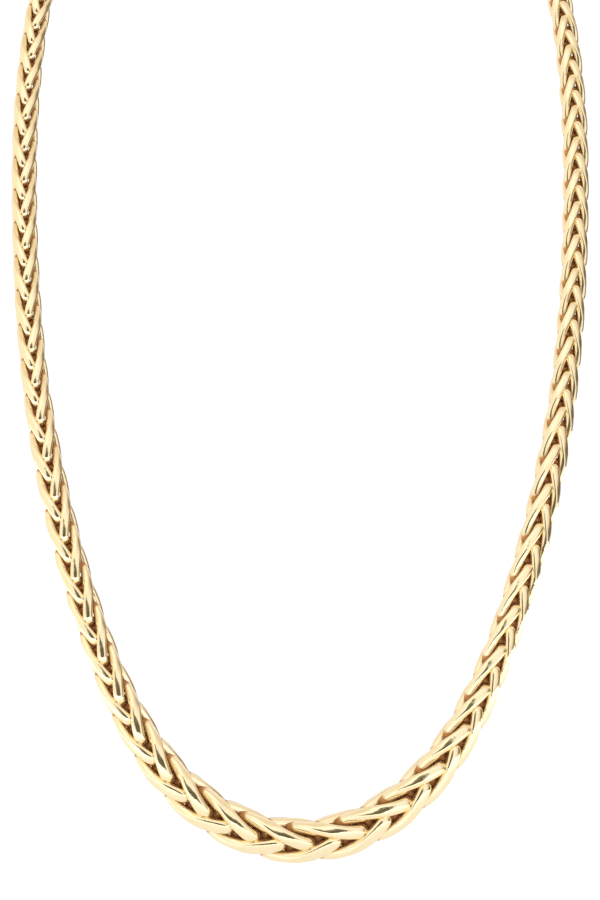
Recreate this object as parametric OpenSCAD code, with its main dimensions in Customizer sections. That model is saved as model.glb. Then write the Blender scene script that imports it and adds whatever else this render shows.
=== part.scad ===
// Graduated wheat chain necklace, worn round a neck and closed at the nape.
// The loop faces the viewer along -Y, and the nape lies over the origin.

/* [Loop] */
// Width of the worn loop, from wire line to wire line across the shoulders
loop_width = 89.2; // [84:0.2:96]
// Height of the worn loop, from the bottom of the front up to the nape
loop_height = 157; // [150:0.5:165]
// Depth of the worn loop, from the bottom of the front back to the nape
loop_depth = 79; // [72:0.5:86]
// Angle that the chain's face is rolled outward at the bottom of the front
face_turn = 17; // [10:1:26]

/* [Chain] */
// Number of links in the whole chain
links = 139; // [132:1:144]
// Width of the chain at the bottom of the front, where it is widest
front_width = 6.35; // [5.9:0.05:6.8]
// Room that the weave leaves for a wire's breadth, as a share of the chain's width
room_of_width = 0.374; // [0.31:0.002:0.376]
// Room for a wire's breadth as a share of the distance from a link to the next but one
room_of_pitch = 0.272; // [0.23:0.002:0.274]
// Play between wires, by which each wire is narrower than its room
link_play = 0.1; // [0.09:0.01:0.25]
// Thickness of the flattened wire as a share of its breadth
wire_flatness = 0.76; // [0.68:0.01:0.77]

/* [Clasp] */
// Length of the clasp's barrel
clasp_length = 11; // [9:0.5:13]
// Diameter of the clasp's barrel
clasp_diameter = 4.6; // [4.2:0.1:5.4]
// Width of the turned groove round the middle of the barrel
clasp_groove = 0.5; // [0.3:0.1:0.8]
// Breadth of the bevel round each end of the barrel
clasp_bevel = 0.75; // [0.4:0.05:1.1]
// Diameter of the wire of the two rings that are soldered to the barrel
ring_wire = 1.1; // [0.9:0.05:1.2]
// Play between a soldered clasp ring's wire and the end link that it holds
ring_play = 0.2; // [0.18:0.01:0.26]

/* [Hidden] */

// Columns of ROUTE: out from the middle, back from the front and up from the bottom
ACROSS = 0;
BACK = 1;
UP = 2;

// Chosen points that draw one half of the loop, as shares of half its width, its depth
// and its height. The first is at the bottom of the front and the last at the nape.
ROUTE = [
    [0, 0, -0.006],
    [0.305, 0.006, 0.019],
    [0.583, 0.025, 0.097],
    [0.807, 0.088, 0.256],
    [0.971, 0.224, 0.458],
    [1.007, 0.407, 0.666],
    [0.993, 0.541, 0.793],
    [0.906, 0.697, 0.947],
    [0.596, 0.935, 1.002],
    [0, 1.035, 1.003]
];

// Columns of GRADE: way from the front to the nape, chain width, pitch of the links and
// roll of the chain's face
WAY = 0;
WIDTH = 1;
PITCH = 2;
ROLL = 3;

// How the chain grows finer from the bottom of the front to the nape, as shares of half
// the loop's length, of the front width, of the front pitch and of the face's turn there
GRADE = [
    [0, 1, 1, 1],
    [0.07, 0.965, 0.955, 1],
    [0.14, 0.83, 0.825, 0.85],
    [0.2, 0.735, 0.8, 0.65],
    [0.3, 0.7, 0.81, 0.6],
    [0.36, 0.68, 0.765, 0.6],
    [0.42, 0.625, 0.7, 0.6],
    [0.5, 0.6, 0.69, 0.6],
    [0.62, 0.59, 0.66, 0.6],
    [0.72, 0.555, 0.62, 0.6],
    [1, 0.55, 0.615, 0.6]
];

// Columns of RING: way along the link, distance out from the chain's line and turn round it
ALONG = 0;
OUT = 1;
TURN = 2;

// The corners of one side of a link, from its tail to its head, as shares of the link's
// length and of the chain's width. The turn carries the wire from a side face of the chain
// round its corner to the front face, and the other side of the link is opposite.
RING = [
    [0, 0.065, 200],
    [0.12, 0.395, 166],
    [0.5, 0.447, 135],
    [0.88, 0.395, 104],
    [1, 0.065, 70]
];

// Sides of the wire in section
WIRE_SIDES = 5;
// Length of a link, counted in links: each one starts one count after the last
LINK_SPAN = 2.56;
// Steps in which each stretch between two route points is drawn
ROUTE_STEPS = 22;
// Steps in which the whole chain is measured out
STATIONS = 240;
// Half of the short step over which a direction along the loop is taken, in millimetres
AIM = 1.5;

// Turns a list of corners round, so that it runs the other way
function reversed(list) = [for (i = [len(list) - 1:-1:0]) list[i]];

// Gives a direction its length of one
function unit(v) = v / norm(v);

// Running total of a list, one value longer than the list
function running(steps) = [
    for (i = 0, sum = 0; i <= len(steps); sum = sum + (i < len(steps) ? steps[i] : 0), i = i + 1)
    sum
];

// The chosen points at their real size, from the nape down the left side, round the front
// and up the right side, with the nape's point at the start only
half_route = [for (r = ROUTE) [r[ACROSS] * loop_width / 2, r[BACK] * loop_depth, r[UP] * loop_height]];
left_route = [for (p = reversed(half_route)) [-p[0], p[1], p[2]]];
right_route = [for (i = [1:len(half_route) - 2]) half_route[i]];
drawn_route = concat(left_route, right_route);

// A smooth curve near four neighbouring chosen points, at a share t of the way
function blend(a, b, c, d, t) =
    (pow(1 - t, 3) * a + (3 * pow(t, 3) - 6 * t * t + 4) * b
    + (-3 * pow(t, 3) + 3 * t * t + 3 * t + 1) * c + pow(t, 3) * d) / 6;

// Points along the whole closed loop, nape first and last
function loop_point(i, t, p = drawn_route) =
    blend(p[(i + len(p) - 1) % len(p)], p[i % len(p)], p[(i + 1) % len(p)], p[(i + 2) % len(p)], t);
raw_loop = [for (i = [0:len(drawn_route) - 1], k = [0:ROUTE_STEPS - 1]) loop_point(i, k / ROUTE_STEPS)];
nape = raw_loop[0];

// The nape is moved over the origin, where the barrel's underside rests
loop_line = [for (p = concat(raw_loop, [nape])) p - nape + [0, 0, clasp_diameter / 2]];
loop_sum = running([for (i = [1:len(loop_line) - 1]) norm(loop_line[i] - loop_line[i - 1])]);
loop_length = loop_sum[len(loop_sum) - 1];

// Tables from the distance along the loop to each coordinate
x_table = [for (i = [0:len(loop_sum) - 1]) [loop_sum[i], loop_line[i][0]]];
y_table = [for (i = [0:len(loop_sum) - 1]) [loop_sum[i], loop_line[i][1]]];
z_table = [for (i = [0:len(loop_sum) - 1]) [loop_sum[i], loop_line[i][2]]];
function place(s) = [lookup(s, x_table), lookup(s, y_table), lookup(s, z_table)];

// Share of the way from the front to the nape, and the chain's width and roll there
function way(s) = abs(2 * s / loop_length - 1);
width_table = [for (g = GRADE) [g[WAY], g[WIDTH]]];
pitch_table = [for (g = GRADE) [g[WAY], g[PITCH]]];
roll_table = [for (g = GRADE) [g[WAY], g[ROLL]]];
function width(s) = front_width * lookup(way(s), width_table);
function roll(s) = face_turn * lookup(way(s), roll_table);

// Direction of the chain, and the outward side and front of its rolled face
function onward(s) = unit(place(s + AIM) - place(s - AIM));
function level_front(s) = let (t = onward(s), f = [0, -1, 0]) unit(f - (f * t) * t);
function level_side(s) = cross(onward(s), level_front(s));
function side(s) = cos(roll(s)) * level_side(s) - sin(roll(s)) * level_front(s);
function front(s) = cos(roll(s)) * level_front(s) + sin(roll(s)) * level_side(s);

// Width of the chain beside the clasp, and the breadth of its wire there
end_width = front_width * GRADE[len(GRADE) - 1][WIDTH];
end_wire = room_of_width * end_width - link_play;

// The clasp's rings: how deep their wire's line lies in the barrel's end, its radius, and
// the distance from the nape to their middle
ring_sink = ring_wire / 4;
ring_radius = ring_wire + end_wire / 2 + ring_play;
ring_middle = clasp_length / 2 + ring_radius - ring_sink;
// Distance from the far side of a ring's wire back to the middle of the end link's wire
ring_hook = ring_wire / 2 + wire_flatness * end_wire / 2 + ring_play;
chain_start = ring_middle + ring_radius - ring_hook;
chain_end = loop_length - chain_start;

// Half of the barrel's outline, from its middle to one end
barrel_radius = clasp_diameter / 2;
groove_depth = clasp_groove / 2;
half_outline = [
    [barrel_radius - groove_depth, 0],
    [barrel_radius - groove_depth, clasp_groove / 2],
    [barrel_radius, clasp_groove / 2],
    [barrel_radius, clasp_length / 2 - clasp_bevel],
    [barrel_radius - clasp_bevel, clasp_length / 2],
    [0, clasp_length / 2]
];

// Tables between the distance along the loop and the count of links, which runs faster
// where the pitch is short. The pitch at the front follows from the number of links.
count_span = links - 1 + LINK_SPAN;
station_step = (chain_end - chain_start) / STATIONS;
stations = [for (i = [0:STATIONS]) chain_start + i * station_step];
fineness = [for (i = [1:STATIONS]) 1 / lookup(way(stations[i] - station_step / 2), pitch_table)];
count_sum = running(fineness);
count_scale = count_span / count_sum[STATIONS];
count_table = [for (i = [0:STATIONS]) [count_sum[i] * count_scale, stations[i]]];
function station(count) = lookup(count, count_table);

// Distance from a link to the next but one near a count, and the wire's breadth there
function pitch(count) = station(count + 1) - station(count - 1);
function wire(count) =
    let (c = min(max(count, 1), count_span - 1))
    min(room_of_width * width(station(count)), room_of_pitch * pitch(c)) - link_play;

// All the corners of a link, down one side and back up the other, for a left-handed link
// or its mirror image
function corner(row, opposite, hand) =
    let (turn = row[TURN] + (opposite ? 180 : 0))
    [hand * row[OUT] * cos(turn), row[OUT] * sin(turn), row[ALONG]];
function flat_normal(row, hand) = [-hand * sin(row[TURN]), cos(row[TURN])];
function link_corners(hand) = concat(
    [for (row = RING) corner(row, false, hand)],
    [for (row = reversed(RING)) corner(row, true, hand)]);
function link_normals(hand) = concat(
    [for (row = RING) flat_normal(row, hand)],
    [for (row = reversed(RING)) flat_normal(row, hand)]);

// Even links are left-handed and odd ones right-handed
function hand(link) = link % 2 == 0 ? 1 : -1;

// A spot on the rolled faces of the chain, and one at a count of links with its distances
// from the chain's line as shares of the chain's width
function on_face(s, x, y) = x * side(s) + y * front(s);
function chain_point(count, x, y) = let (s = station(count)) place(s) + width(s) * on_face(s, x, y);

// One closed ring of flattened wire, broad side outward, through the two links before it
module link(number) {
    flat = link_corners(hand(number));
    lean = link_normals(hand(number));
    n = len(flat);
    counts = [for (p = flat) number + LINK_SPAN * p[2]];
    line = [for (i = [0:n - 1]) chain_point(counts[i], flat[i][0], flat[i][1])];
    ahead = [for (i = [0:n - 1]) unit(line[(i + 1) % n] - line[i])];
    aim = [for (i = [0:n - 1]) unit(ahead[i] + ahead[(i + n - 1) % n])];
    rest = [for (i = [0:n - 1]) on_face(station(counts[i]), lean[i][0], lean[i][1])];
    up = [for (i = [0:n - 1]) unit(rest[i] - (rest[i] * aim[i]) * aim[i])];
    over = [for (i = [0:n - 1]) cross(aim[i], up[i])];
    step = 360 / WIRE_SIDES;
    points = [
        for (i = [0:n - 1], j = [0:WIRE_SIDES - 1])
        line[i] + wire(counts[i]) / 2 * (cos(j * step) * up[i] + wire_flatness * sin(j * step) * over[i])
    ];
    faces = [
        for (i = [0:n - 1], j = [0:WIRE_SIDES - 1], half = [0, 1])
        let (
            a = i * WIRE_SIDES + j,
            b = i * WIRE_SIDES + (j + 1) % WIRE_SIDES,
            c = ((i + 1) % n) * WIRE_SIDES + (j + 1) % WIRE_SIDES,
            d = ((i + 1) % n) * WIRE_SIDES + j
        )
        half == 0 ? [a, c, b] : [a, d, c]
    ];
    polyhedron(points, faces);
}

// The side of the chain that hangs on the left of the view, from the clasp to the front
module chain_left() {
    color("gold")
    for (number = [0:floor(links / 2) - 1]) link(number);
}

// The other side of the chain, from the front back up to the clasp
module chain_right() {
    color("gold")
    for (number = [floor(links / 2):links - 1]) link(number);
}

// Puts something at a distance along the loop: X to the chain's side, Y to its front and
// Z onward along it
module on_loop(s) {
    x = side(s);
    y = front(s);
    z = onward(s);
    p = place(s);
    multmatrix([[x[0], y[0], z[0], p[0]], [x[1], y[1], z[1], p[1]], [x[2], y[2], z[2], p[2]]])
    children();
}

// A ring of round wire round the Z axis
module clasp_ring() {
    rotate_extrude($fn = 64)
    translate([ring_radius, 0])
    circle(d = ring_wire, $fn = 32);
}

// Barrel closed at the nape, with a ring soldered on each end for the end links
module clasp() {
    mirrored = [for (p = reversed(half_outline)) [p[0], -p[1]]];
    color("gold") {
        translate([0, 0, barrel_radius])
        rotate([0, 90, 0])
        rotate_extrude($fn = 64)
        polygon(concat(half_outline, mirrored));
        // The first link's tail lies from side to side, so its ring stands front to back
        on_loop(ring_middle) rotate([0, 90, 0]) clasp_ring();
        // The last link's head lies front to back, so its ring stands from side to side
        on_loop(loop_length - ring_middle) rotate([90, 0, 0]) clasp_ring();
    }
}

chain_left();
chain_right();
clasp();
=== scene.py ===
"""Looks of the graduated wheat chain necklace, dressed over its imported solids.

Each section below makes one piece of the real necklace, in the order in which a chain maker
would put it together, and the studio that it is shown in comes last.
"""

import bpy
import numpy as np
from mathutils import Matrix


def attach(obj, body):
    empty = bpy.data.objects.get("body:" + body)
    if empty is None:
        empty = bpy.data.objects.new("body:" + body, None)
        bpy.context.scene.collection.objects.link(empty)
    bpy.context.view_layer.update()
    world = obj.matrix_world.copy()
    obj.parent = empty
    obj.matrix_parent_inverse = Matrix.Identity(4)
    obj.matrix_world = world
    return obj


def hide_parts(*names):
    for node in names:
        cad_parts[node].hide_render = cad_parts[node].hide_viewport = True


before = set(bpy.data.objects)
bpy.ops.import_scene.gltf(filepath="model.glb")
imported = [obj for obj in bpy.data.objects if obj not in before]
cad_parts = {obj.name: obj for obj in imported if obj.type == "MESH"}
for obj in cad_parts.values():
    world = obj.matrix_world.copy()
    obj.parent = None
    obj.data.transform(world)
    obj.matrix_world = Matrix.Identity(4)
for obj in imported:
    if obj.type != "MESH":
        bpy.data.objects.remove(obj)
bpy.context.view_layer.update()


# The line of the necklace.
# Worn round a neck, the chain hangs in a loop: round the bottom of the front, up the chest
# on both sides and round the nape, where its clasp lies over the origin.

LOOP_WIDTH = 0.0892
LOOP_DEPTH = 0.079
LOOP_HEIGHT = 0.157
CLASP_DIAMETER = 0.0046

# Roll of the chain's face at the bottom of the front, and the distance to each side over
# which the direction of the line is taken.
FACE_TURN = np.radians(17)
AIM = 0.0015

# Chosen points of one half of the loop, as shares of half its width, its depth and its
# height, from the bottom of the front to the nape.
ROUTE = np.array([
    [0, 0, -0.006],
    [0.305, 0.006, 0.019],
    [0.583, 0.025, 0.097],
    [0.807, 0.088, 0.256],
    [0.971, 0.224, 0.458],
    [1.007, 0.407, 0.666],
    [0.993, 0.541, 0.793],
    [0.906, 0.697, 0.947],
    [0.596, 0.935, 1.002],
    [0, 1.035, 1.003],
])

# How the chain grows finer: way from the front to the nape, width, pitch, and roll of the
# left and of the right branch, as shares of half the loop and of their values at the front.
# The worn chain lies rolled a little less on the left than on the right.
WAY, WIDTH, PITCH, LEFT_ROLL, RIGHT_ROLL = range(5)
GRADE = np.array([
    [0, 1, 1, 1, 1],
    [0.07, 0.965, 0.955, 1, 1],
    [0.14, 0.83, 0.825, 0.8, 0.9],
    [0.2, 0.735, 0.8, 0.6, 0.85],
    [0.3, 0.7, 0.81, 0.5, 0.85],
    [0.36, 0.68, 0.765, 0.45, 0.85],
    [0.42, 0.625, 0.7, 0.4, 0.85],
    [0.5, 0.6, 0.69, 0.35, 0.85],
    [0.62, 0.59, 0.66, 0.35, 0.8],
    [0.72, 0.555, 0.62, 0.4, 0.7],
    [1, 0.55, 0.615, 0.6, 0.6],
])


def loop_through(route, steps=60):
    """Closed curve that starts and ends at the nape.

    The half route is mirrored into a ring of control points, and each stretch is a uniform
    cubic B-spline: the four nearest points weighted by (1-t)^3, 3t^3-6t^2+4,
    -3t^3+3t^2+3t+1 and t^3, over six.
    """
    half = route * [LOOP_WIDTH / 2, LOOP_DEPTH, LOOP_HEIGHT]
    ring = np.vstack([half[::-1] * [-1, 1, 1], half[1:-1]])
    t = np.arange(steps)[:, None] / steps
    weights = np.hstack([
        (1 - t) ** 3,
        3 * t**3 - 6 * t**2 + 4,
        -3 * t**3 + 3 * t**2 + 3 * t + 1,
        t**3,
    ]) / 6
    near = np.stack([np.roll(ring, shift, axis=0) for shift in (1, 0, -1, -2)], axis=1)
    line = np.einsum("tk,nkx->ntx", weights, near).reshape(-1, 3)
    line = np.vstack([line, line[:1]])
    return line - line[0] + [0, 0, CLASP_DIAMETER / 2]


def unit(v):
    """Each vector divided by its length."""
    return v / np.linalg.norm(v, axis=-1, keepdims=True)


loop_line = loop_through(ROUTE)
loop_sum = np.concatenate([[0], np.cumsum(np.linalg.norm(np.diff(loop_line, axis=0), axis=1))])
loop_length = loop_sum[-1]


def place(s):
    """Point of the loop at each distance s from the nape."""
    return np.stack([np.interp(s, loop_sum, loop_line[:, axis]) for axis in range(3)], axis=-1)


def graded(s, column):
    """Value of a column of GRADE at each distance s."""
    way = np.abs(2 * s / loop_length - 1)
    return np.interp(way, GRADE[:, WAY], GRADE[:, column])


def face_frame(s):
    """Side, front and onward directions of the chain at each distance s.

    Front is straight ahead, made square to the line and then rolled outward, by FACE_TURN
    at the bottom and by a share of it, from a column of GRADE, up each branch.
    """
    onward = unit(place(s + AIM) - place(s - AIM))
    ahead = np.array([0.0, -1.0, 0.0])
    front = unit(ahead - (onward @ ahead)[..., None] * onward)
    side = np.cross(onward, front)
    share = np.where(s < loop_length / 2, graded(s, LEFT_ROLL), graded(s, RIGHT_ROLL))
    roll = (FACE_TURN * share)[..., None]
    rolled_side = np.cos(roll) * side - np.sin(roll) * front
    rolled_front = np.cos(roll) * front + np.sin(roll) * side
    return rolled_side, rolled_front, onward


# The links.
# Each is a ring of flattened gold wire, drawn out long and twisted by a quarter turn, and it
# passes through the two links before it. Left-handed and right-handed links take turns.

LINKS = 139
FRONT_WIDTH = 0.00685
CHAIN_START = 0.00782
STATIONS = 240

# A link is LINK_SPAN counts long, and its middle is LINK_CENTRE counts past its number.
LINK_SPAN = 2.6
LINK_CENTRE = 1.28

# The wire: its breadth and depth over the chain's width, its depth in the bends, the power
# of its squared section, and the power by which it grows round towards the bends.
WIRE_BREADTH = 0.33
WIRE_DEPTH = 0.28
BEND_DEPTH = 0.34
SQUARED = 0.7
ROUNDING = 8

# Painted shade on a link's tail, which lies in the recess between other links: by how many chain
# widths the tail counts as nearer to the middle of the weave, and its length over that of the
# link.
TAIL_SHADE = 0.3
TAIL_LENGTH = 0.05


def width(s):
    """Width of the chain's face at each distance s."""
    return FRONT_WIDTH * graded(s, WIDTH)


# Links are counted along the chain, and a count runs faster where the pitch is short. The
# count ends as far past the middle of the last link as it starts before that of the first.
stations = np.linspace(CHAIN_START, loop_length - CHAIN_START, STATIONS + 1)
fineness = 1 / graded((stations[1:] + stations[:-1]) / 2, PITCH)
last_count = LINKS - 1 + 2 * LINK_CENTRE
counts = np.concatenate([[0], np.cumsum(fineness)]) / fineness.sum() * last_count


def station(count):
    """Distance along the loop at each count of links."""
    return np.interp(count, counts, stations)


# One link's wire line: reach from the chain's middle, squareness of its corners, fullness
# of its bends and of its ends, the angle by which its strands lean past the faces, and the
# power with which its flat side settles on a face.
REACH = 0.38
CORNER = 2.6
BEND = 0.20
END = 0.80
LEAN = np.radians(2)
SETTLE = 2

# Points along a link's wire and round its section, the samples that the points along it
# are picked from, the link's length in chain widths, how much the points crowd in a bend,
# and a length so small that it only keeps a step from being nothing.
AROUND = 64
SIDES = 20
SAMPLES = 4001
SLENDERNESS = 1.65
CROWDING = 0.22
TINY = 1e-12


def link_line(points):
    """Closed line of a left-handed link: across, front and along, and the flat side's turn.

    At an angle t, the way along is (1 - sign(cos t) |cos t|^END) / 2. The strand turns
    steadily by a quarter turn, less twice LEAN, on its way. Its distance from the middle is
    REACH |sin t|^BEND, squared off by a superellipse of power CORNER, so that the two
    strands meet in a round bend at each end. The flat side faces outwards, and its turn has
    a tangent of -|tan of the strand's turn|^SETTLE, which settles it on the nearest face.
    Points crowd where the line bends.
    """
    t = np.linspace(0, 2 * np.pi, SAMPLES)
    along = (1 - np.sign(np.cos(t)) * np.abs(np.cos(t)) ** END) / 2
    angle = np.pi - LEAN + (2 * LEAN - np.pi / 2) * along
    across, front = np.cos(angle), np.sin(angle)
    square = (np.abs(across) ** CORNER + np.abs(front) ** CORNER) ** (1 / CORNER)
    out = np.sign(np.sin(t)) * REACH * np.abs(np.sin(t)) ** BEND / square
    facing = np.arctan2(np.abs(front) ** SETTLE, -np.abs(across) ** SETTLE)

    line = np.stack([out * across, out * front, along * SLENDERNESS], axis=-1)
    step = np.diff(line, axis=0)
    bending = np.linalg.norm(np.diff(unit(step + TINY), axis=0), axis=1)
    weight = np.linalg.norm(step, axis=1) + CROWDING * np.concatenate([bending, [0]])
    spread = np.concatenate([[0], np.cumsum(weight)])
    at = np.interp(np.arange(points) / points * spread[-1], spread, t)
    columns = (out * across, out * front, along, facing)
    return np.stack([np.interp(at, t, column) for column in columns], axis=-1)


def wire_rings(numbers):
    """Points of many closed wire rings, and the reach of each point.

    Every ring is the link line, laid along the loop by count, with its points moved off the
    loop by shares of the chain's width. Odd links are mirrored from side to side. The wire's
    section, square to the line, is WIRE_BREADTH sign(cos) |cos|^power across and a depth
    times sign(sin) |sin|^power. The power grows from SQUARED to 1 at the bends, and the depth
    from WIRE_DEPTH to BEND_DEPTH, as |2 along - 1|^ROUNDING. The reach is a point's distance
    from the loop in chain widths, less TAIL_SHADE exp(-(along / TAIL_LENGTH)^2).
    """
    across, outward, along, facing = link_line(AROUND).T
    hand = np.where(numbers % 2 == 0, 1.0, -1.0)[:, None]
    s = station(numbers[:, None] + LINK_CENTRE + LINK_SPAN * (along - 0.5)[None])
    side, front, onward = face_frame(s)
    span = width(s)[..., None]
    middle = place(s)
    aside = (hand * across)[..., None] * side
    line = middle + span * (aside + outward[None, :, None] * front)
    ahead = unit(np.roll(line, -1, axis=1) - np.roll(line, 1, axis=1))
    lean = (-hand * np.sin(facing))[..., None] * side + np.cos(facing)[None, :, None] * front
    up = unit(lean - np.sum(lean * ahead, axis=-1, keepdims=True) * ahead)
    over = np.cross(ahead, up)

    turn = (np.arange(SIDES) * 2 * np.pi / SIDES)[:, None]
    ends = np.abs(2 * along - 1) ** ROUNDING
    depth = (WIRE_DEPTH + (BEND_DEPTH - WIRE_DEPTH) * ends)[:, None, None]
    power = (SQUARED + (1 - SQUARED) * ends)[:, None, None]
    broad = WIRE_BREADTH * np.sign(np.cos(turn)) * np.abs(np.cos(turn)) ** power
    deep = depth * np.sign(np.sin(turn)) * np.abs(np.sin(turn)) ** power
    offset = broad * up[:, :, None] + deep * over[:, :, None]
    points = line[:, :, None] + span[:, :, None] / 2 * offset

    away = points - middle[:, :, None]
    away = away - np.sum(away * onward[:, :, None], axis=-1, keepdims=True) * onward[:, :, None]
    # Painted shade on the tails, which lie between other links.
    tail = TAIL_SHADE * np.exp(-(along / TAIL_LENGTH) ** 2)[None, :, None]
    reach = np.linalg.norm(away, axis=-1) / width(s)[..., None] - tail
    return points, reach


def ring_faces(rings, sides, closed=True):
    """Quads between neighbouring rings of points.

    A closed piece also has quads from its last ring to its first.
    """
    i, j = np.meshgrid(np.arange(rings if closed else rings - 1), np.arange(sides), indexing="ij")
    i2, j2 = (i + 1) % rings, (j + 1) % sides
    corners = [i * sides + j, i2 * sides + j, i2 * sides + j2, i * sides + j2]
    return np.stack(corners, axis=-1).reshape(-1, 4)


def new_piece(name, points, faces, smooth=True):
    """Object made of points and faces, smooth or flat, at the origin."""
    mesh = bpy.data.meshes.new(name)
    mesh.from_pydata(points, [], faces)
    mesh.polygons.foreach_set("use_smooth", np.full(len(faces), smooth))
    mesh.update()
    piece = bpy.data.objects.new(name, mesh)
    bpy.context.scene.collection.objects.link(piece)
    return piece


def chain_of_links(name, numbers):
    """Piece of many closed wire rings.

    The UV map has the way round the link as U and the way round the wire as V. The
    attribute reach sets the tone of the gold.
    """
    points, reach = wire_rings(numbers)
    starts = np.arange(len(numbers)) * AROUND * SIDES
    faces = (ring_faces(AROUND, SIDES)[None] + starts[:, None, None]).reshape(-1, 4)
    piece = new_piece(name, points.reshape(-1, 3), faces)
    i, j = np.meshgrid(np.arange(AROUND), np.arange(SIDES), indexing="ij")
    u = np.stack([i, i + 1, i + 1, i], axis=-1) / AROUND
    v = np.stack([j, j, j + 1, j + 1], axis=-1) / SIDES
    uv = np.tile(np.stack([u, v], axis=-1).ravel(), len(numbers))
    piece.data.uv_layers.new(name="wire").data.foreach_set("uv", uv)
    shade = piece.data.attributes.new("reach", "FLOAT", "POINT")
    shade.data.foreach_set("value", reach.ravel())
    return piece


def polish_marks():
    """Group that gives polished gold its marks.

    Fine lines are noise on the place that is given, drawn out along its X. Slow waves from
    the polishing wheel come from noise on Object coordinates. Both go into one normal, and
    the lines also roughen the metal.
    """
    group = bpy.data.node_groups.new("polish_marks", "ShaderNodeTree")
    face = group.interface
    face.new_socket("Place", in_out="INPUT", socket_type="NodeSocketVector")
    for label in ("Line Scale", "Line Depth", "Wave Scale", "Wave Depth"):
        face.new_socket(label, in_out="INPUT", socket_type="NodeSocketFloat")
    for label in ("Lines", "Waves"):
        face.new_socket(label, in_out="OUTPUT", socket_type="NodeSocketFloat")
    face.new_socket("Normal", in_out="OUTPUT", socket_type="NodeSocketVector")
    nodes, links = group.nodes, group.links
    given, made = nodes.new("NodeGroupInput"), nodes.new("NodeGroupOutput")
    where = nodes.new("ShaderNodeTexCoord")
    stretch = nodes.new("ShaderNodeMapping")
    stretch.inputs["Scale"].default_value = (0.08, 1.0, 1.0)
    lines = nodes.new("ShaderNodeTexNoise")
    lines.inputs["Detail"].default_value = 4.0
    lines.inputs["Roughness"].default_value = 0.7
    waves = nodes.new("ShaderNodeTexNoise")
    waves.inputs["Detail"].default_value = 2.0
    line_bump, wave_bump = nodes.new("ShaderNodeBump"), nodes.new("ShaderNodeBump")
    line_bump.inputs["Distance"].default_value = 0.00002
    wave_bump.inputs["Distance"].default_value = 0.0002
    links.new(given.outputs["Place"], stretch.inputs["Vector"])
    links.new(stretch.outputs["Vector"], lines.inputs["Vector"])
    links.new(given.outputs["Line Scale"], lines.inputs["Scale"])
    links.new(where.outputs["Object"], waves.inputs["Vector"])
    links.new(given.outputs["Wave Scale"], waves.inputs["Scale"])
    links.new(waves.outputs["Fac"], wave_bump.inputs["Height"])
    links.new(given.outputs["Wave Depth"], wave_bump.inputs["Strength"])
    links.new(lines.outputs["Fac"], line_bump.inputs["Height"])
    links.new(given.outputs["Line Depth"], line_bump.inputs["Strength"])
    links.new(wave_bump.outputs["Normal"], line_bump.inputs["Normal"])
    links.new(lines.outputs["Fac"], made.inputs["Lines"])
    links.new(waves.outputs["Fac"], made.inputs["Waves"])
    links.new(line_bump.outputs["Normal"], made.inputs["Normal"])
    return group


marks = polish_marks()

# Values of the fine lines' noise that count as a faint line and as a deep one.
FAINT_LINE = 0.3
DEEP_LINE = 0.75


def new_material(name):
    """Material with its nodes, its links and its shader."""
    material = bpy.data.materials.new(name)
    material.use_nodes = True
    tree = material.node_tree
    return material, tree.nodes, tree.links, tree.nodes["Principled BSDF"]


def marked(nodes, line_scale, line_depth, wave_scale, wave_depth):
    """Node of the polish marks, with its scales and depths."""
    node = nodes.new("ShaderNodeGroup")
    node.node_tree = marks
    node.inputs["Line Scale"].default_value = line_scale
    node.inputs["Line Depth"].default_value = line_depth
    node.inputs["Wave Scale"].default_value = wave_scale
    node.inputs["Wave Depth"].default_value = wave_depth
    return node


def two_tones(nodes, first, second):
    """Node that mixes two colours by its factor."""
    node = nodes.new("ShaderNodeMix")
    node.data_type = "RGBA"
    node.inputs["A"].default_value = (*first, 1.0)
    node.inputs["B"].default_value = (*second, 1.0)
    return node


def gloss_of(nodes, smooth, rough):
    """Node that takes the fine lines, from faint to deep, to a roughness."""
    node = nodes.new("ShaderNodeMapRange")
    node.inputs["From Min"].default_value = FAINT_LINE
    node.inputs["From Max"].default_value = DEEP_LINE
    node.inputs["To Min"].default_value = smooth
    node.inputs["To Max"].default_value = rough
    return node


# Gold of the links: bright and nearly smooth where it is rubbed, with painted shade towards the
# middle of the weave and at the tails, which lie in the shade of other links: browner, less
# metallic and duller there.
link_gold, nodes, links, shader = new_material("link_gold")
where = nodes.new("ShaderNodeTexCoord")
rub = marked(nodes, line_scale=42.0, line_depth=0.12, wave_scale=600.0, wave_depth=0.3)
reach = nodes.new("ShaderNodeAttribute")
reach.attribute_name = "reach"
# Painted shade: where reach is small, the gold turns brown, less metallic and rougher.
painted_shade = nodes.new("ShaderNodeMapRange")
painted_shade.interpolation_type = "SMOOTHSTEP"
painted_shade.inputs["From Min"].default_value = 0.44
painted_shade.inputs["From Max"].default_value = 0.22
tone = two_tones(nodes, (0.97, 0.82, 0.535), (0.53, 0.24, 0.07))
shade_metalness = nodes.new("ShaderNodeMapRange")
shade_metalness.inputs["To Min"].default_value = 1.0
shade_metalness.inputs["To Max"].default_value = 0.35
gloss = gloss_of(nodes, smooth=0.07, rough=0.16)
dull = nodes.new("ShaderNodeMath")
dull.operation = "MULTIPLY_ADD"
dull.inputs[1].default_value = 0.4
links.new(where.outputs["UV"], rub.inputs["Place"])
links.new(reach.outputs["Fac"], painted_shade.inputs["Value"])
links.new(painted_shade.outputs["Result"], tone.inputs["Factor"])
links.new(tone.outputs["Result"], shader.inputs["Base Color"])
links.new(painted_shade.outputs["Result"], shade_metalness.inputs["Value"])
links.new(shade_metalness.outputs["Result"], shader.inputs["Metallic"])
links.new(rub.outputs["Lines"], gloss.inputs["Value"])
links.new(painted_shade.outputs["Result"], dull.inputs[0])
links.new(gloss.outputs["Result"], dull.inputs[2])
links.new(dull.outputs["Value"], shader.inputs["Roughness"])
links.new(rub.outputs["Normal"], shader.inputs["Normal"])

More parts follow.
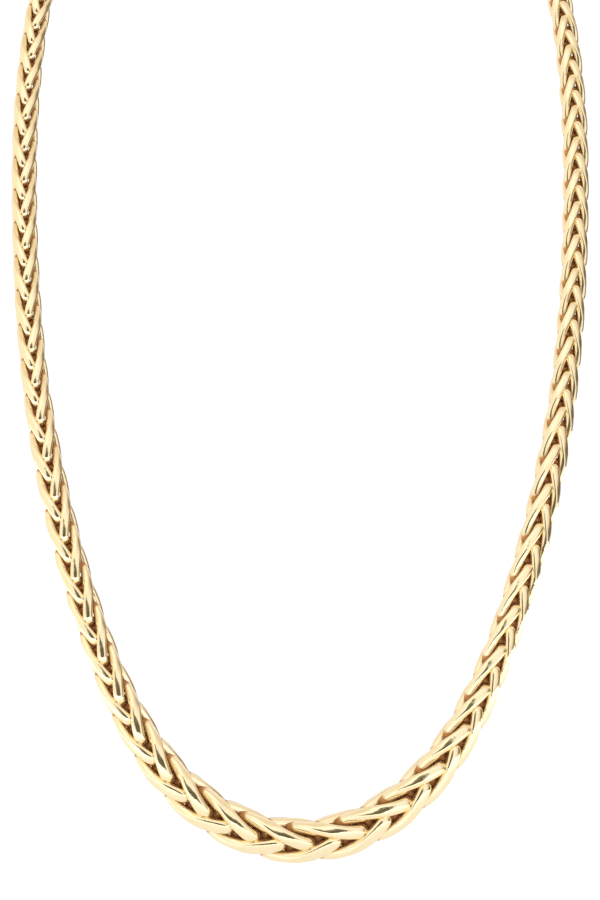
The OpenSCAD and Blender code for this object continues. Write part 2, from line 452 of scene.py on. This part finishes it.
# The chain's two nodes, and the numbers of their links, counted from the nape round.
BRANCHES = {
    "chain_left": np.arange(LINKS // 2),
    "chain_right": np.arange(LINKS // 2, LINKS),
}
for node, numbers in BRANCHES.items():
    branch = chain_of_links(node.replace("chain", "links"), numbers)
    branch.data.materials.append(link_gold)
    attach(branch, "root")
    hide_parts(node)


# The clasp.
# A plain gold barrel with a turned groove closes the chain at the nape, and a ring of wire
# is soldered on each of its ends for the end links.

CLASP_LENGTH = 0.011
GROOVE_WIDTH = 0.0005
GROOVE_DEPTH = 0.00025
SQUARENESS = 7
RING_WIRE = 0.0011
RING_RADIUS = 0.0019
RING_MIDDLE = 0.00713


def fan(centre, start, spokes):
    """Triangles from a middle point to the sides of the ring of points that begins at start."""
    j = np.arange(spokes)
    return np.stack([np.full(spokes, centre), start + j, start + (j + 1) % spokes], axis=-1)


def barrel(rings=160, spokes=96):
    """Turned barrel along X: a superellipse of power SQUARENESS, less a groove at its middle.

    Its radius falls by GROOVE_DEPTH exp(-(2x / GROOVE_WIDTH)^4). A point closes each end.
    The walls and the first end go round the other way than ring_faces and fan make them.
    """
    u = np.linspace(0, np.pi, rings + 2)[1:-1]
    x = CLASP_LENGTH / 2 * np.sign(np.cos(u)) * np.abs(np.cos(u)) ** (2 / SQUARENESS)
    r = CLASP_DIAMETER / 2 * np.sin(u) ** (2 / SQUARENESS)
    r = r - GROOVE_DEPTH * np.exp(-(2 * x / GROOVE_WIDTH) ** 4)
    x, r = x[:, None], r[:, None]
    a = 2 * np.pi * np.arange(spokes) / spokes
    skin = np.stack(np.broadcast_arrays(x, r * np.cos(a), r * np.sin(a)), axis=-1)
    ends = np.array([[CLASP_LENGTH / 2, 0, 0], [-CLASP_LENGTH / 2, 0, 0]])
    walls = ring_faces(rings, spokes, closed=False)[:, [0, 3, 2, 1]]
    first = fan(rings * spokes, 0, spokes)[:, [0, 2, 1]]
    last = fan(rings * spokes + 1, (rings - 1) * spokes, spokes)
    faces = walls.tolist() + first.tolist() + last.tolist()
    return np.vstack([skin.reshape(-1, 3), ends]), faces


def solder_ring(s, first, second, around=72, sides=24):
    """Ring of round wire, centred at distance s, in the plane of two directions."""
    a = 2 * np.pi * np.arange(around)[:, None, None] / around
    b = 2 * np.pi * np.arange(sides)[None, :, None] / sides
    out = np.cos(a) * first + np.sin(a) * second
    off_plane = RING_WIRE / 2 * np.sin(b) * np.cross(first, second)
    points = place(s) + (RING_RADIUS + RING_WIRE / 2 * np.cos(b)) * out + off_plane
    return points.reshape(-1, 3), ring_faces(around, sides).tolist()


def joined(name, parts):
    """One piece out of several (points, faces) pairs."""
    points = np.vstack([part[0] for part in parts])
    starts = np.cumsum([0] + [len(part[0]) for part in parts])
    faces = [
        [corner + start for corner in face]
        for (_, its_faces), start in zip(parts, starts)
        for face in its_faces
    ]
    return new_piece(name, points, faces)


tube, tube_faces = barrel()
_, front, onward = face_frame(np.array(RING_MIDDLE))
far_side, _, far_onward = face_frame(np.array(loop_length - RING_MIDDLE))
closing = joined("clasp_barrel", [
    (tube + [0, 0, CLASP_DIAMETER / 2], tube_faces),
    solder_ring(RING_MIDDLE, front, onward),
    solder_ring(loop_length - RING_MIDDLE, far_onward, far_side),
])

# Gold of the clasp: the same metal, with the fine turning lines of a lathe round the
# barrel, and a little duller in the hollows that the waves leave.
clasp_gold, nodes, links, shader = new_material("clasp_gold")
shader.inputs["Metallic"].default_value = 1.0
where = nodes.new("ShaderNodeTexCoord")
lathe = nodes.new("ShaderNodeMapping")
lathe.inputs["Rotation"].default_value = (0.0, 0.0, np.pi / 2)
lathe.inputs["Scale"].default_value = (1.0, 1.0, 0.05)
turned = marked(nodes, line_scale=5000.0, line_depth=0.15, wave_scale=500.0, wave_depth=0.08)
hue = two_tones(nodes, (0.92, 0.73, 0.44), (0.965, 0.805, 0.53))
gloss = gloss_of(nodes, smooth=0.10, rough=0.22)
links.new(where.outputs["Object"], lathe.inputs["Vector"])
links.new(lathe.outputs["Vector"], turned.inputs["Place"])
links.new(turned.outputs["Waves"], hue.inputs["Factor"])
links.new(hue.outputs["Result"], shader.inputs["Base Color"])
links.new(turned.outputs["Lines"], gloss.inputs["Value"])
links.new(gloss.outputs["Result"], shader.inputs["Roughness"])
links.new(turned.outputs["Normal"], shader.inputs["Normal"])

closing.data.materials.append(clasp_gold)
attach(closing, "root")
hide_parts("clasp")


# The studio.
# A pale floor under the necklace, in a tent of white cloth that lights it from all round,
# with a lamp above the front. The dark of the room shows where the camera looks in, through
# a slit above that, behind the necklace, and through a gap on the right.

FLOOR = -0.172
FLOOR_RADIUS = 0.6


def disc(name, radius, height, rings=12, spokes=96):
    """Flat round sheet: rings of points at radius k / rings, closed by a middle point."""
    r = radius * np.arange(1, rings + 1)[:, None] / rings
    a = 2 * np.pi * np.arange(spokes)[None] / spokes
    level = np.full((rings, spokes), height)
    sheet = np.stack([r * np.cos(a), r * np.sin(a), level], axis=-1).reshape(-1, 3)
    faces = ring_faces(rings, spokes, closed=False).tolist()
    faces += fan(rings * spokes, 0, spokes).tolist()
    return new_piece(name, np.vstack([sheet, [[0, 0, height]]]), faces, smooth=False)


floor = disc("floor", FLOOR_RADIUS, FLOOR)
paper, nodes, links, shader = new_material("white_paper")
shader.inputs["Base Color"].default_value = (0.86, 0.90, 0.96, 1.0)
shader.inputs["Roughness"].default_value = 0.9
shader.inputs["Emission Color"].default_value = (1.0, 1.0, 1.0, 1.0)
where = nodes.new("ShaderNodeTexCoord")
apart = nodes.new("ShaderNodeVectorMath")
apart.operation = "LENGTH"
lit_from_below = nodes.new("ShaderNodeMapRange")
lit_from_below.interpolation_type = "SMOOTHSTEP"
lit_from_below.inputs["From Min"].default_value = 0.18
lit_from_below.inputs["From Max"].default_value = 0.32
lit_from_below.inputs["To Min"].default_value = 0.2
lit_from_below.inputs["To Max"].default_value = 1.0
links.new(where.outputs["Object"], apart.inputs[0])
links.new(apart.outputs["Value"], lit_from_below.inputs["Value"])
links.new(lit_from_below.outputs["Result"], shader.inputs["Emission Strength"])
floor.data.materials.append(paper)

tent = bpy.data.worlds.new("tent")
bpy.context.scene.world = tent
tent.use_nodes = True
nodes, links = tent.node_tree.nodes, tent.node_tree.links
nodes.clear()
where = nodes.new("ShaderNodeTexCoord")

# The tent's cloth, and what is laid over it in turn: direction, degrees from there to its
# inner and to its outer edge, and its light. They are the bright back and left, the dark gap
# on the right and behind, the bright front with its lamp, and the dark where the camera looks
# in and in the slit above.
CLOTH = (0.90, 0.81, 0.72)
PATCHES = [
    ((0, 1, 0.1), 40, 85, (1.0, 0.96, 0.93)),
    ((-1, -0.2, 0.2), 20, 60, (1.10, 1.05, 0.95)),
    ((1, 0.25, 0), 18, 46, (0.20, 0.16, 0.11)),
    ((0.12, 1, 0.05), 8, 18, (0.2, 0.18, 0.14)),
    ((0, -0.9, 0.3), 32, 68, (1.08, 1.08, 1.05)),
    ((-0.25, -0.6, 0.76), 8, 26, (1.3, 1.28, 1.22)),
    ((-0.12, -1, 0.05), 18, 29, (0.135, 0.122, 0.092)),
    ((-0.22, -0.9, 0.42), 6, 15, (0.2, 0.18, 0.13)),
]


def patch(direction, inner, outer):
    """1 within inner degrees of a direction, falling smoothly to 0 at outer degrees."""
    aim = nodes.new("ShaderNodeVectorMath")
    aim.operation = "DOT_PRODUCT"
    aim.inputs[1].default_value = unit(np.array(direction, float))
    edge = nodes.new("ShaderNodeMapRange")
    edge.interpolation_type = "SMOOTHSTEP"
    edge.inputs["From Min"].default_value = np.cos(np.radians(outer))
    edge.inputs["From Max"].default_value = np.cos(np.radians(inner))
    links.new(where.outputs["Generated"], aim.inputs[0])
    links.new(aim.outputs["Value"], edge.inputs["Value"])
    return edge.outputs["Result"]


def lit(below, share, colour):
    """Lays a patch of light, red green blue, over what is below it."""
    mix = nodes.new("ShaderNodeMix")
    mix.data_type = "RGBA"
    mix.inputs["B"].default_value = (*colour, 1.0)
    if isinstance(below, tuple):
        mix.inputs["A"].default_value = (*below, 1.0)
    else:
        links.new(below, mix.inputs["A"])
    links.new(share, mix.inputs["Factor"])
    return mix.outputs["Result"]


light = CLOTH
for direction, inner, outer, colour in PATCHES:
    light = lit(light, patch(direction, inner, outer), colour)
sight = nodes.new("ShaderNodeLightPath")
sky = nodes.new("ShaderNodeMix")
sky.data_type = "RGBA"
sky.inputs["B"].default_value = (1.1, 1.1, 1.1, 1.0)
glow = nodes.new("ShaderNodeBackground")
out = nodes.new("ShaderNodeOutputWorld")
links.new(sight.outputs["Is Camera Ray"], sky.inputs["Factor"])
links.new(light, sky.inputs["A"])
links.new(sky.outputs["Result"], glow.inputs["Color"])
links.new(glow.outputs["Background"], out.inputs["Surface"])

# The camera stands far off and level with the middle of the picture, with a long lens. The
# picture's height is measured in an upright plane through the chain.
LENS = 800
SENSOR = 36
PICTURE_HEIGHT = 0.1449
PICTURE_MIDDLE = -0.0922
PICTURE_PLANE = -0.06
camera_data = bpy.data.cameras.new("camera")
camera_data.lens = LENS
camera_data.sensor_width = SENSOR
camera = bpy.data.objects.new("camera", camera_data)
camera.location = (0, PICTURE_PLANE - PICTURE_HEIGHT * LENS / SENSOR, PICTURE_MIDDLE)
camera.rotation_euler = (np.pi / 2, 0, 0)
camera_data.clip_end = 50
bpy.context.scene.collection.objects.link(camera)
bpy.context.scene.camera = camera
bpy.context.scene.view_settings.view_transform = "Standard"
